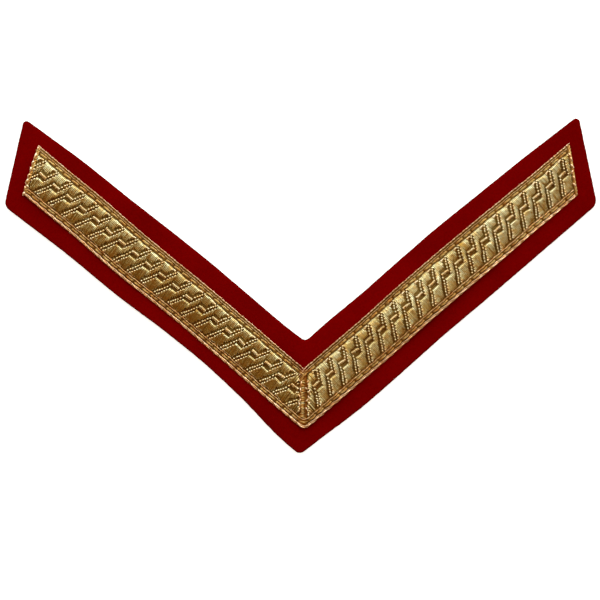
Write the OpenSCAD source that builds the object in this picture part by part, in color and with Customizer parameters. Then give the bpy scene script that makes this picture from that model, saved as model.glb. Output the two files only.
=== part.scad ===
// Rank chevron patch, point down: a thick scarlet cloth backing in the shape of a V, with one
// bar of half-inch woven gold lace sewn along it and folded into a mitre at the point.
// The patch lies face up. The origin is the centre of the backing's box, on its back face.
// Every arm is laid out from the mitre: s runs outwards along the lace, t runs across it,
// from the lace's centre line towards the inside of the V. Sizes are in millimetres.

/* [Chevron] */
// Slope of the left arm from level, in degrees
slope_left = 40; // [32:0.5:48]
// Slope of the right arm from level, in degrees
slope_right = 40.4; // [32:0.5:48]
// Length of the lace on the left arm, along its centre line
run_left = 95.6; // [60:0.2:130]
// Length of the lace on the right arm, along its centre line
run_right = 94.6; // [60:0.2:130]

/* [Cloth backing] */
// Thickness of the scarlet cloth
cloth_t = 1.8; // [1:0.1:3]
// Width of cloth left showing beside the lace, before the hand cutting's wander
margin = 5.15; // [3:0.05:8]
// Cloth left showing past the end of the lace on the left arm
end_margin_left = 5.4; // [3:0.1:9]
// Cloth left showing past the end of the lace on the right arm
end_margin_right = 5.3; // [3:0.1:9]
// Lean of the cloth's left end from upright, lower corner outwards, in degrees
cloth_lean_left = 12.8; // [0:0.1:24]
// Lean of the cloth's right end from upright, lower corner outwards, in degrees
cloth_lean_right = 11.8; // [0:0.1:24]
// Radius of the point at the bottom
tip_r = 2; // [0.5:0.1:4]
// Radius of the inside corner of the V
notch_r = 0.7; // [0.3:0.1:3]
// Radius of the upper corners of the two ends
upper_corner_r = 1.1; // [0.3:0.1:3]
// Radius of the lower corners of the two ends
lower_corner_r = 2.8; // [0.5:0.1:4]

/* [Lace] */
// Width of the gold lace
lace_w = 12.7; // [10:0.1:18]
// Thickness of the lace between its raised threads
lace_t = 1; // [0.8:0.05:1.5]
// Gap between the cloth and the lace lying on it
lace_gap = 0.05; // [0.03:0.01:0.2]
// Lean of the lace's left end from upright, lower corner outwards, in degrees
lace_lean_left = 17.4; // [0:0.1:24]
// Lean of the lace's right end from upright, lower corner outwards, in degrees
lace_lean_right = 9; // [0:0.1:24]

/* [Woven figure] */
// Length of one repeat of the woven figure
repeat = 4.58; // [3.5:0.02:7]
// Height of the cords and blocks that run along the lace, above its ground
rib_rise = 0.3; // [0.1:0.05:0.5]
// Height of the smooth slanted strips above the ground
strip_rise = 0.38; // [0.1:0.02:0.6]
// Height of the slanted rows of small knots above the ground
knot_rise = 0.24; // [0.1:0.02:0.5]
// Where the figure starts on the left arm, counted outwards from the mitre
start_left = 2.8; // [0:0.1:7]
// Where the figure starts on the right arm, counted outwards from the mitre
start_right = 1.5; // [0:0.1:7]

/* [Mitre] */
// Width of the fold of lace between the two arms
fold_w = 1.3; // [0.8:0.1:3]
// Height of the fold above the lace's ground
fold_rise = 0.45; // [0.2:0.05:0.8]
// Gap between the fold and the lace beside it
fold_gap = 0.08; // [0.04:0.01:0.3]

/* [Hidden] */

SCARLET = "#6a0101";
GOLD = "#a07a3c";
DARK_GOLD = "#8a5a22";

LEFT = 0;
RIGHT = 1;
SIDE = [-1, 1];
SLOPE = [slope_left, slope_right];
RUN = [run_left, run_right];
END_MARGIN = [end_margin_left, end_margin_right];
CLOTH_LEAN = [cloth_lean_left, cloth_lean_right];
LACE_LEAN = [lace_lean_left, lace_lean_right];
START = [start_left, start_right];

// The cut edge of the cloth, a row for each station from the middle of the V to the arm's end.
STATION = 0;     // column: share of the way along that edge
INNER = 1;       // column: cloth showing on the inside of the V, as a share of margin
OUTER = 2;       // column: cloth showing on the outside, as a share of margin
CUT_LEFT = [
    [0.00, 1.07, 1.21],
    [0.08, 1.01, 1.20],
    [0.20, 1.03, 0.89],
    [0.34, 1.05, 0.73],
    [0.48, 0.99, 0.79],
    [0.62, 0.89, 0.97],
    [0.80, 0.82, 0.99],
    [1.00, 0.56, 1.18]
];
CUT_RIGHT = [
    [0.00, 0.94, 0.92],
    [0.08, 1.00, 1.00],
    [0.20, 0.95, 1.16],
    [0.34, 1.00, 1.11],
    [0.48, 1.03, 1.04],
    [0.62, 0.96, 1.06],
    [0.80, 0.87, 1.04],
    [1.00, 0.69, 1.02]
];
CUT = [CUT_LEFT, CUT_RIGHT];
LAST = len(CUT_LEFT) - 1;
wander_r = 120;      // radius that eases the cut edge from one station to the next
arc_step = 12;       // degrees of turn for each short side of a rounded corner
straight = 0.01;     // degrees of turn below which a corner stays as it is

// The ribs that run the whole length of the lace, a row for each, from its inner edge outwards.
RIB_FROM = 0;    // column: near side, as a share of lace_w from the centre line
RIB_TO = 1;      // column: far side, as a share of lace_w from the centre line
RIB_HIGH = 2;    // column: height as a share of rib_rise
RIBS = [
    [0.500, 0.466, 0.9],      // inner edge cord
    [0.450, 0.416, 0.8],      // cord beside the inner row of stitching
    [0.355, 0.128, 1.0],      // upper row of blocks
    [0.116, 0.060, 0.6],      // short bar between the rows of blocks
    [-0.010, -0.300, 1.0],    // lower row of blocks
    [-0.316, -0.356, 0.7],    // cord beside the outer row of stitching
    [-0.418, -0.500, 1.3]     // thick rope along the outer edge
];
rib_sides = 6;       // flats that make up the arched top of each rib

// The slanted figure, one outline for each form, a row for each corner.
ALONG = 0;       // column: share of the repeat
ACROSS = 1;      // column: share of lace_w from the centre line
STRIP = [
    [0.06, -0.17], [0.13, 0.03], [0.46, 0.26], [0.46, 0.35],
    [0.53, 0.35], [0.53, 0.12], [0.22, -0.09]
];
UPPER_KNOTS = [
    [0.10, 0.07], [0.02, 0.17], [0.04, 0.24], [0.15, 0.30],
    [0.34, 0.35], [0.42, 0.34], [0.42, 0.27], [0.14, 0.08]
];
LOWER_KNOTS = [
    [-0.03, -0.27], [0.02, -0.30], [0.19, -0.30], [0.38, -0.20],
    [0.56, -0.08], [0.54, 0.07], [0.50, 0.07], [0.24, -0.12]
];

lace_z = cloth_t + lace_gap;
sink = lace_t / 2;                  // depth that a raised form reaches down into the lace
fold_cord = 0.3;                    // width of the edge cord on the fold, as a share of fold_w

// Directions and lines in the plane of the patch
function outwards(arm) = [SIDE[arm] * cos(SLOPE[arm]), sin(SLOPE[arm])];
function inwards(arm) = [-SIDE[arm] * sin(SLOPE[arm]), cos(SLOPE[arm])];
function place(arm, s, t) = s * outwards(arm) + t * inwards(arm);
function end_line(arm, lean) = [SIDE[arm] * sin(lean), -cos(lean)];
function meet(p, u, q, v) = p + u * cross(q - p, v) / cross(u, v);

// Corners of the lace at the mitre, and the mitre's own direction and sideways direction
function lace_corner(side) = meet(
    place(LEFT, 0, side * lace_w / 2), outwards(LEFT),
    place(RIGHT, 0, side * lace_w / 2), outwards(RIGHT)
);
outer_corner = lace_corner(-1);
inner_corner = lace_corner(1);
mitre_up = (inner_corner - outer_corner) / norm(inner_corner - outer_corner);
mitre_right = [mitre_up.y, -mitre_up.x];
arm_cut = fold_w / 2 + fold_gap;    // from the mitre line to the cut edge of each arm's lace

// Plan that cuts the lace on one arm, from the mitre to its leaning end, wider than the lace
function lace_plan(arm) = [
    for (side = [-1, 1]) meet(
        place(arm, 0, side * lace_w), outwards(arm),
        outer_corner + SIDE[arm] * arm_cut * mitre_right, mitre_up
    ),
    for (side = [1, -1]) meet(
        place(arm, 0, side * lace_w), outwards(arm),
        place(arm, RUN[arm], 0), end_line(arm, LACE_LEAN[arm])
    )
];

// Cut edge of the cloth: side is 1 on the inside of the V and -1 on the outside
function cut_t(arm, row, side) = side * (lace_w / 2 + margin * CUT[arm][row][side > 0 ? INNER : OUTER]);
function cut_vertex(side) = meet(
    place(LEFT, 0, cut_t(LEFT, 0, side)), outwards(LEFT),
    place(RIGHT, 0, cut_t(RIGHT, 0, side)), outwards(RIGHT)
);
function cut_corner(arm, side) = meet(
    place(arm, 0, cut_t(arm, LAST, side)), outwards(arm),
    place(arm, RUN[arm] + END_MARGIN[arm], 0), end_line(arm, CLOTH_LEAN[arm])
);
function cut_point(arm, row, side) =
    let (
        from = cut_vertex(side) * outwards(arm),
        to = cut_corner(arm, side) * outwards(arm)
    )
    place(arm, from + CUT[arm][row][STATION] * (to - from), cut_t(arm, row, side));
function stations(arm, side) = [for (row = [1 : LAST - 1]) cut_point(arm, row, side)];
function backwards(list) = [for (i = [len(list) - 1 : -1 : 0]) list[i]];
wander = [for (row = [1 : LAST - 1]) wander_r];
cut_points = concat(
    [cut_vertex(-1)],
    stations(RIGHT, -1),
    [cut_corner(RIGHT, -1), cut_corner(RIGHT, 1)],
    backwards(stations(RIGHT, 1)),
    [cut_vertex(1)],
    stations(LEFT, 1),
    [cut_corner(LEFT, 1), cut_corner(LEFT, -1)],
    backwards(stations(LEFT, -1))
);
cut_radii = concat(
    [tip_r], wander,
    [lower_corner_r, upper_corner_r], wander,
    [notch_r], wander,
    [upper_corner_r, lower_corner_r], wander
);

// An outline with each corner rounded to its radius, or as far as its shorter side allows
function unit(v) = v / norm(v);
function turned(v, a) = [v.x * cos(a) - v.y * sin(a), v.x * sin(a) + v.y * cos(a)];
function turn_of(a, b) = atan2(cross(a, b), a * b);
function corner_arc(before, at, after, r) =
    let (
        way_in = unit(at - before),
        way_out = unit(after - at),
        turn = turn_of(way_in, way_out),
        room = 0.48 * min(norm(at - before), norm(after - at)),
        run = min(r * tan(abs(turn) / 2), room)
    )
    abs(turn) < straight ? [at] : let (
        bend = run / tan(abs(turn) / 2),
        hub = at - run * way_in + sign(turn) * bend * [-way_in.y, way_in.x],
        sides = max(2, ceil(abs(turn) / arc_step)),
        spoke = at - run * way_in - hub
    )
    [for (i = [0 : sides]) hub + turned(spoke, turn * i / sides)];
function rounded(points, radii) =
    let (n = len(points))
    [
        for (i = [0 : n - 1])
            each corner_arc(points[(i + n - 1) % n], points[i], points[(i + 1) % n], radii[i])
    ];

cloth_outline = rounded(cut_points, cut_radii);
xs = [for (p = cloth_outline) p.x];
ys = [for (p = cloth_outline) p.y];
middle = [(min(xs) + max(xs)) / 2, (min(ys) + max(ys)) / 2];

// A rib's arched end view, standing on the line t = from to t = to, with its foot sunk below
module rib_end(from, to, high, foot) {
    centre = (from + to) / 2;
    half = abs(from - to) / 2;
    polygon([
        [centre + half, -foot],
        for (i = [0 : rib_sides]) [centre + half * cos(180 * i / rib_sides), high * sin(180 * i / rib_sides)],
        [centre - half, -foot]
    ]);
}

// Lays an end view, drawn in the plane of t and height, along an arm's own direction
module run_along(length) {
    rotate([90, 0, 90])
        linear_extrude(length, center = true)
            children();
}

// The lace's ground with its lengthwise ribs, longer than any arm
module ribbed_lace(length) {
    run_along(length) {
        translate([-lace_w / 2, 0])
            square([lace_w, lace_t]);
        translate([0, lace_t])
            for (rib = RIBS)
                rib_end(rib[RIB_FROM] * lace_w, rib[RIB_TO] * lace_w, rib[RIB_HIGH] * rib_rise, sink);
    }
}

// One raised form of the figure, in the lace's own plane
module raised(form, rise) {
    translate([0, 0, lace_t - sink])
        linear_extrude(sink + rise)
            polygon([for (corner = form) [corner[ALONG] * repeat, corner[ACROSS] * lace_w]]);
}

module slanted_figure() {
    raised(STRIP, strip_rise);
    raised(UPPER_KNOTS, knot_rise);
    raised(LOWER_KNOTS, knot_rise);
}

// The lace on one arm: weave running the same way on both, cut at the mitre and at its end
module lace_run(arm) {
    reach = RUN[arm] + lace_w;
    repeats = ceil(reach / repeat);
    intersection() {
        linear_extrude(lace_t + rib_rise + strip_rise + lace_w)
            polygon(lace_plan(arm));
        rotate([0, 0, SIDE[arm] * SLOPE[arm]]) {
            ribbed_lace(2 * reach);
            for (i = [-2 : repeats])
                translate([SIDE[arm] * (START[arm] + i * repeat), 0, 0])
                    slanted_figure();
        }
    }
}

module on_cloth() {
    translate([-middle.x, -middle.y, lace_z])
        children();
}

// Backing of thick scarlet cloth, cut by hand a little wider than the lace
module cloth_backing() {
    color(SCARLET)
        translate([-middle.x, -middle.y, 0])
            linear_extrude(cloth_t)
                polygon(cloth_outline);
}

module lace_left() {
    color(GOLD)
        on_cloth()
            lace_run(LEFT);
}

module lace_right() {
    color(GOLD)
        on_cloth()
            lace_run(RIGHT);
}

// Where a line beside the mitre, x to its right, meets the lace's upper or lower edge
function fold_end(x, side) =
    let (arm = x < 0 ? LEFT : RIGHT)
    meet(
        place(arm, 0, side * lace_w / 2), outwards(arm),
        outer_corner + x * mitre_right, mitre_up
    );

// Fold of the lace standing up along the mitre, with the edge cord that shows on its left
module mitre_fold() {
    half = fold_w / 2;
    cord_side = half - fold_cord * fold_w;
    color(DARK_GOLD)
        on_cloth()
            intersection() {
                linear_extrude(lace_t + fold_rise + lace_w)
                    polygon([
                        fold_end(-fold_w, -1), outer_corner, fold_end(fold_w, -1),
                        fold_end(fold_w, 1), inner_corner, fold_end(-fold_w, 1)
                    ]);
                translate([outer_corner.x, outer_corner.y, 0])
                    rotate([0, 0, atan2(mitre_up.y, mitre_up.x)])
                        run_along(4 * lace_w) {
                            translate([-half, 0])
                                square([fold_w, lace_t]);
                            translate([0, lace_t]) {
                                rib_end(half, cord_side, 0.7 * fold_rise, sink);
                                rib_end(cord_side, -half, fold_rise, sink);
                            }
                        }
            }
}

cloth_backing();
lace_left();
lace_right();
mitre_fold();
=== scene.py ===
"""Looks of a rank chevron patch: a bar of half-inch gold lace, woven thread by thread, folded
into a mitre and hand sewn on a V of thick scarlet cloth. Lengths are in millimetres, and become
metres where a mesh is made. On each arm s runs outwards from the mitre and t across the lace,
from its centre line towards the inside of the V, as in the part's own source."""
import math

import bmesh
import bpy
import numpy as np
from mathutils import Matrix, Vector, noise
from mathutils.geometry import delaunay_2d_cdt


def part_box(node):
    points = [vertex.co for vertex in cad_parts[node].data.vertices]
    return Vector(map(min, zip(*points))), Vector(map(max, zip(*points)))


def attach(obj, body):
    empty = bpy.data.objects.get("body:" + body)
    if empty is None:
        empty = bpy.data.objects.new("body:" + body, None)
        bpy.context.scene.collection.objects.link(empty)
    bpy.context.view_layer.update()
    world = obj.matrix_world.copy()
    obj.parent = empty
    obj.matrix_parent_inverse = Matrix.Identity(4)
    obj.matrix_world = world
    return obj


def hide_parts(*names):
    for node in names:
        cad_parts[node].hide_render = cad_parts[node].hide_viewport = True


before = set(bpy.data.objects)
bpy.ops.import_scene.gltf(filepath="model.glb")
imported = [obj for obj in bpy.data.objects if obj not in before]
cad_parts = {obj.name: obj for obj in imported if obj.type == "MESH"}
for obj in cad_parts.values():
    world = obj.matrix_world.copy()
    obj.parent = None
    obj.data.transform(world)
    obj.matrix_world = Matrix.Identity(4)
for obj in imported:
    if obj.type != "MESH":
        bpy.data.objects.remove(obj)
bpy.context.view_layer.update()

MM = 0.001
ARMS = ("left", "right")
SIDE = {"left": -1, "right": 1}

# Sizes of the lace, within 0.4 mm of those in the part's source
SLOPE = {"left": 40.0, "right": 40.4}  # degrees from level
RUN = {"left": 95.25, "right": 94.6}  # along the centre line
LACE_LEAN = {"left": 17.4, "right": 10.8}  # degrees that the lace's end leans from upright
LACE_W = 12.7
LACE_T = 1.0
CLEAR = {"left": 0.80, "right": 0.62}  # from the middle of the mitre to each arm's lace

# The weave of each arm, stretched by hand folding
REPEAT = {"left": 4.618, "right": 4.541}  # length of one repeat of the figure
START = {"left": 2.83, "right": 1.36}  # from the mitre to the start of a repeat
SKEW = {"left": 0.06, "right": 0.017}  # lean of the picks along the lace
PICKS = 12  # picks of gold thread in one repeat
PICK_PHASE = 0.18  # the first pick's place in a repeat, in picks
PICK_W = 0.39  # width of a gold thread in a long float
PICK_DEPTH = 0.30  # its depth as a share of its width
SHORT_W = 0.44  # width of a short float, drawn in by the warp
SHORT_DEPTH = 0.8
SUNK_W = 0.33  # width of a pick where it passes under
SUNK_DEPTH = 0.7
PICKS_SPARE = 60  # picks tried beyond each end of the centre line
PICK_REACH = 0.42  # half a sunk pick's length, by the lace's width
SHORTEST_PICK = 0.5
SHORTEST_FLOAT = 0.3
BEAD_LENGTH = 0.7  # a float shorter than this is a bead
DASH_LENGTH = 1.25  # and one shorter than this is a dash
BEAD_SHAPE = (1.5, 0.75)  # how far its top lies outwards, how plump it is there
DASH_SHAPE = (1.0, -0.12)
SHORT_END = 0.70  # girth at the ends of both
DOT = 0.46  # length of the round end of a float in a row of steps
DOT_LAP = 0.6  # where the float goes on behind it, as a share of it
INNER_STEPS = np.array([0.0, 0.05, 0.13, 0.25, 0.4, 0.52, 0.66, 0.82, 1.0])
OUTER_STEPS = np.array([0.34, 0.2, 0.08, 0.0])  # points of a long float, from its two ends
BODY_STEP = 0.9  # between the points of its middle
SHOULDER = 0.75  # length over which it comes up gently
STEEP_START = 0.1  # and where it comes up steeply
FLOAT_END = 0.32  # length over which it goes down again
TAUT = 2.0  # length up to which it doesn't sag
SAG = 0.18  # drop of its outer end for each millimetre more
END_GIRTH = 0.78  # at its ends
TAPER = 0.4  # over this length
WANDER = 0.3  # how far floats lie off the draft in patches
ALONG = np.linspace(-1, 1, 9)  # places along a short thread

# How far each arm's lace sways from its centre line: (share of the run, sway to the inside)
SWAY = {
    "left": [(0.0, -0.42), (0.1, -0.40), (0.25, -0.18), (0.4, -0.07), (0.64, -0.45),
             (0.8, -0.17), (0.93, -0.33), (1.0, -0.30)],
    "right": [(0.0, -0.50), (0.1, -0.50), (0.25, -0.47), (0.42, -0.07), (0.55, 0.0),
              (0.7, -0.11), (0.8, -0.14), (0.9, -0.3), (1.0, -0.25)]
}
# How its width changes along the arm: (share of the run, share of the full width)
GIRTH = {
    "left": [(0.0, 1.0), (0.5, 0.99), (0.6, 1.01), (1.0, 1.0)],
    "right": [(0.0, 1.0), (0.7, 1.0), (0.8, 0.975), (1.0, 0.955)]
}

# The draft of the figure: for each pick of a repeat its floats, from the inside of the V
# outwards, as inner and outer end in shares of the lace's width
DRAFT = [
    [(0.358, 0.222), (0.118, 0.048), (-0.008, -0.15), (-0.265, -0.3)],
    [(0.358, 0.282), (0.169, 0.127), (0.032, -0.125), (-0.205, -0.247)],
    [(0.358, 0.316), (0.226, 0.184), (0.092, -0.085), (-0.162, -0.204), (-0.272, -0.314)],
    [(0.356, 0.322), (0.271, 0.229), (0.15, -0.038), (-0.112, -0.154), (-0.224, -0.314)],
    [(0.321, 0.279), (0.206, 0.012), (-0.065, -0.107), (-0.175, -0.314)],
    [(0.356, 0.32), (0.262, 0.065), (-0.009, -0.051), (-0.124, -0.314)],
    [(0.358, 0.115), (0.048, 0.006), (-0.072, -0.314)],
    [(0.358, 0.158), (0.118, 0.05), (-0.008, -0.314)],
    [(0.358, 0.158), (0.118, 0.05), (-0.008, -0.314)],
    [(0.358, 0.158), (0.118, 0.05), (-0.008, -0.314)],
    [(0.358, 0.158), (0.118, 0.05), (-0.008, -0.29)],
    [(0.358, 0.164), (0.118, 0.05), (-0.008, -0.225)]
]
LEVEL_ENDS = (0.358, -0.008)  # inner ends that stand in line, not in steps
FLOAT_RISE = 0.36  # of a long float above the ground
SHORT_RISE = 0.55  # of a dash or bead
UNDER = -0.14  # height of a pick where it passes under
BULGE = 0.66  # how far the lace's middle stands above its edges
TILT_LIFT = 0.3  # how far its leaning lifts the middle, as a share
GROUND_INSET = 0.1  # how far the ground stops short of the lace's edges
GROUND_ROUND = 0.35  # how wide its edge is rounded
GROUND_DROP = 0.3  # and how deep
GROUND_COLUMNS = 61
GROUND_ROWS = 241
# How the lace leans: (share of the run, height of the inner edge above the middle)
TILT = {
    "left": [(0.0, 0.15), (0.04, 0.3), (0.10, 0.78), (0.38, 0.76), (0.46, 0.50), (0.8, 0.42),
             (0.88, 0.12), (1.0, 0.1)],
    "right": [(0.0, -0.25), (0.07, -0.2), (0.12, 0.10), (0.28, 0.10), (0.36, -0.32), (0.64, -0.22),
              (0.71, 0.08), (0.82, 0.2), (0.9, 0.5), (1.0, 0.55)]
}
MITRE_MESS = 0.26  # how far the folding has pushed floats beside it
MITRE_REACH = 2.4  # how far from the mitre that goes
# Patches in which worn floats rise and sink: (height, waves in a millimetre, seed)
CRUMPLE = [(0.17, 0.33, 5.0), (0.068, 0.9, 6.0), (0.0272, 2.6, 8.0)]

# Cords along the lace
STRAND_SHARE = {1: 1.0, 2: 0.54, 3: 0.5, 4: 0.5}  # a strand's width by its cord's
CORD_STEP = 0.2  # between the points of a strand
CORD_POINTS = 380  # points of a cord's route on one arm
CORD_LIFT = 0.15  # of a cord's middle above the ground, by its width
STITCH_PITCH = 2.755  # of the hand sewing that holds the lace down
NEEDLE_PHASE = 0.9  # place of the needle's hole in a pitch
NEEDLE_HOLE = 0.66  # width of a hole
NEEDLE_SUNK = 0.4  # how far its plug goes into the ground
NEEDLE_RISE = 0.14  # and stands above it
HOLE_MARGINS = (0.4, 1.15)  # the least from the lace's start and end to a hole
SEWING_MARGINS = (0.5, 1.0)  # and to the pitch of a stitch
SEWING_W = 0.27
SEWING_DEPTH = 0.8  # of all sewing thread, as a share of its width
SEWING_RISE = 0.3  # of a stitch above the ground, by its cord's width
SEWING_DIP = 0.35  # how far its ends go down again
WORN_SHARE = 0.35  # of the stitches that no longer show
DIMPLE_HALF = 0.36  # half width of the dip at a stitch
SCALLOP = 0.09  # how far the sewing draws the edges in
INNER_SCALLOP = 0.35  # share of it at the inner cords
OUTER_SCALLOP = 0.6  # and at the outer ones
TURN_REACH = 1.1  # how far from its corner a cord starts to turn

# Stitches over the lace's ends: (share of the end from its top, outwards, length, turn)
END_STITCHES = {
    "left": [(0.05, -0.35, 1.0, 10), (0.22, -0.32, 2.2, 0), (0.34, -0.22, 1.0, -15),
             (0.48, -0.22, 1.3, 10), (0.60, -0.22, 1.0, -25), (0.72, -0.16, 1.4, -12),
             (0.80, -0.75, 1.0, 40), (0.86, -0.20, 1.0, 20), (0.97, -0.25, 1.1, -10)],
    "right": [(0.20, -0.60, 1.0, 20), (0.29, -0.35, 1.2, 0), (0.42, -0.40, 1.2, 25),
              (0.52, -0.70, 0.9, -30), (0.64, -0.45, 1.1, 10), (0.76, -0.65, 0.9, 35)]
}
END_STITCH_W = 0.48
END_STITCH_RISE = 0.46  # of its middle above the ground
END_STITCH_DIP = 0.45  # how far its ends go down again
TURNED_END = 1.05  # width of the lace's turned under end beyond its picks
TURNED_INSET = 0.35  # how far it stops short of the lace's edges
TURNED_SUNK = 0.05

# The mitre, from the point where the arms' centre lines meet: the right arm's inner border runs
# over the left arm's and ends in a hook there
HOOKS = {
    "edge_cord": (-1.75, 5.45), "inner_cord": (-1.60, 4.85), "inner_band_cord": (-1.15, 4.35)
}
HOOK_START = 0.3  # from its corner in the mitre to where a hooked cord starts to turn
HOOK_LIFT = 0.525  # how high it runs over the left arm's there
HOOK_FADE = 16  # points of its route over which it comes down again
HOOK_BEND = 0.8  # from there to the corner of its hook
HOOK_CREST = 0.1  # rise at that corner
HOOK_LANDING = 4.0  # place on the left arm over which it ends
HOOK_END_LIFT = 0.2625
HOOK_END_GIRTH = 0.9
FOLD_HALF = 0.62  # half width of the rolled fold
FOLD_SHIFT = -0.38  # its place to the left of the centre
FOLD_RISE = 0.42
FOLD_SPAN = (-5.1, 4.7)  # from its lower to its upper end
FOLD_SIDES = (-1.35, 1.0)  # how far the folded lace reaches left and right
FOLD_CUT = (1.1, 0.9)  # how far it stops short of the lower and upper corner
FOLD_FADE = 0.5  # over which the roll rises at its ends
FOLD_SUNK = 0.15  # how far its foot lies under the ground beside it
FOLD_COLUMNS = 19
FOLD_ROWS = 90
FOLD_SWAY = 0.22  # how far it wanders from a straight line
FOLD_PITCH = 0.46  # of the picks that pass over it
FOLD_THREAD_W = 0.36
FOLD_THREAD_RISE = 0.62
FOLD_THREAD_DIP = 0.5
VALLEY_X = 0.55  # the narrow valley beside it
VALLEY_HALF = 0.15
VALLEY_DEPTH = 0.12
# Loose threads beside the fold: (x, y, length, lean in degrees)
FOLD_THREADS = [
    (-0.72, 3.70, 1.7, -8), (-0.84, 1.85, 1.8, 4), (-1.12, -1.85, 1.5, 8), (-1.2, -3.1, 1.1, -8),
    (-1.1, 0.40, 1.0, 20), (-0.95, -0.65, 0.8, -15), (-1.3, 4.75, 0.9, 60), (1.05, 4.3, 0.9, -30),
    (1.35, 3.35, 1.1, 35), (1.50, 1.70, 1.2, -20), (1.40, 0.05, 1.1, 25), (1.42, -1.55, 1.2, -25),
    (0.75, 2.5, 0.8, 50), (0.85, -0.7, 0.8, -45), (0.8, -2.9, 0.9, 40)
]


# Layout in the plane of the patch
HALF_W = LACE_W / 2
MITRE_SLOPE = math.radians((SLOPE["left"] + SLOPE["right"]) / 2)
MITRE_LEAN = math.tan(MITRE_SLOPE)
CORNER_REACH = HALF_W / math.cos(MITRE_SLOPE)
START_S = {arm: CLEAR[arm] / math.cos(MITRE_SLOPE) for arm in ARMS}
END_LEAN = {arm: math.tan(math.radians(SLOPE[arm] - LACE_LEAN[arm])) for arm in ARMS}
fold_low, fold_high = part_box("mitre_fold")
APEX = np.array([(fold_low.x + fold_high.x) / 2 / MM, fold_low.y / MM + CORNER_REACH])
LACE_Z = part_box("lace_left")[0].z / MM
GROUND = LACE_Z + LACE_T


def eased(table, x):
    """Value at x of a table of (x, value) rows, easing in and out of every row."""
    rows = np.array(table)
    x = np.clip(x, rows[0, 0], rows[-1, 0])
    i = np.clip(np.searchsorted(rows[:, 0], x, side="right") - 1, 0, len(rows) - 2)
    share = (x - rows[i, 0]) / (rows[i + 1, 0] - rows[i, 0])
    return rows[i, 1] + (rows[i + 1, 1] - rows[i, 1]) * share * share * (3 - 2 * share)


def spot(arm, s, t):
    """Places in the plane, from s and t on one arm, with the sway of the lace."""
    slope = math.radians(SLOPE[arm])
    outwards = np.array([SIDE[arm] * math.cos(slope), math.sin(slope)])
    inwards = np.array([-SIDE[arm] * math.sin(slope), math.cos(slope)])
    s, t = np.broadcast_arrays(np.asarray(s, float), np.asarray(t, float))
    swayed = t * eased(GIRTH[arm], s / RUN[arm]) + eased(SWAY[arm], s / RUN[arm])
    return APEX + s[..., None] * outwards + swayed[..., None] * inwards


def arc(share):
    """A quarter circle's rise, from 0 to 1."""
    return np.sqrt(1 - (1 - share) ** 2)


def waves(plane, rows):
    """Soft waves at places in the plane, from rows of (height, waves in a millimetre, seed)."""
    return np.array([
        sum(height * noise.noise(Vector((x * often, y * often, seed)))
            for height, often, seed in rows)
        for x, y in plane
    ])


def first_s(arm, t):
    """Where a line along the lace at t starts, beside the mitre."""
    return START_S[arm] + t * MITRE_LEAN


def last_s(arm, t):
    """Where a line along the lace at t ends, at the leaning end."""
    return RUN[arm] + t * END_LEAN[arm]


# Meshes and objects
def placed(name, data):
    made = bpy.data.objects.new(name, data)
    bpy.context.scene.collection.objects.link(made)
    return made


def mesh_object(name, points, edges=(), faces=()):
    """An object of a new mesh, from points in millimetres."""
    mesh = bpy.data.meshes.new(name)
    mesh.from_pydata(np.asarray(points, float) * MM, edges, faces)
    return placed(name, mesh)


def closed_body(name, plane, top, bottom, flat_faces):
    """A closed, smooth object between two heights at each place, from faces in the plane."""
    count = len(plane)
    faces, sides = [], {}
    for face in flat_faces:
        faces += [face, tuple(count + corner for corner in reversed(face))]
        sides.update(dict.fromkeys(zip(face, face[1:] + face[:1])))
    faces += [(b, a, count + a, count + b) for a, b in sides if (b, a) not in sides]
    levels = [np.column_stack([plane, np.full(count, z)]) for z in (top, bottom)]
    made = mesh_object(name, np.concatenate(levels), faces=faces)
    work = bmesh.new()
    work.from_mesh(made.data)
    bmesh.ops.recalc_face_normals(work, faces=work.faces)
    work.to_mesh(made.data)
    work.free()
    made.data.shade_smooth()
    return made


def closed_strip(name, planes, heights):
    """A strip of lace from its underside up to a height at each place, given row by row."""
    rows, columns = len(planes), len(planes[0])
    corners = [i * columns + j for i in range(rows - 1) for j in range(columns - 1)]
    faces = [(a, a + columns, a + columns + 1, a + 1) for a in corners]
    return closed_body(name, np.concatenate(planes), np.concatenate(heights), LACE_Z, faces)


def path_object(name, paths):
    """Several open paths as one mesh of edges, for a Geometry Nodes tree to work on. A path's
    rows are x, y, z and, where its thickness varies, a share of the full thickness."""
    full = [path if path.shape[1] > 3 else np.column_stack([path, np.ones(len(path))])
            for path in paths]
    points = np.concatenate(full)
    edges, first = [], 0
    for path in paths:
        edges += [(first + i, first + i + 1) for i in range(len(path) - 1)]
        first += len(path)
    made = mesh_object(name, points[:, :3], edges)
    made.data.attributes.new("girth", "FLOAT", "POINT").data.foreach_set("value", points[:, 3])
    return made


def put(tree, kind, inputs=None, **settings):
    """Adds a node to a tree, sets it up, and joins or fills its inputs."""
    made = tree.nodes.new(kind)
    for key, value in settings.items():
        setattr(made, key, value)
    for key, value in (inputs or {}).items():
        if isinstance(value, bpy.types.NodeSocket):
            tree.links.new(value, made.inputs[key])
        else:
            made.inputs[key].default_value = value
    return made


def maths(tree, operation, *values):
    return put(tree, "ShaderNodeMath", dict(enumerate(values)), operation=operation).outputs[0]


def vectors(tree, operation, *values):
    inputs = dict(enumerate(values))
    return put(tree, "ShaderNodeVectorMath", inputs, operation=operation).outputs[0]


def scaled(tree, vector, scale):
    inputs = {0: vector, "Scale": scale}
    return put(tree, "ShaderNodeVectorMath", inputs, operation="SCALE").outputs[0]


def new_tree(name, kind, inputs, outputs):
    """A node group with named inputs and outputs, and the sockets of its inputs."""
    tree = bpy.data.node_groups.new(name, kind)
    for way, sockets in (("INPUT", inputs), ("OUTPUT", outputs)):
        for label, data in sockets.items():
            tree.interface.new_socket(label, in_out=way, socket_type="NodeSocket" + data)
    return tree, put(tree, "NodeGroupInput").outputs


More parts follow.
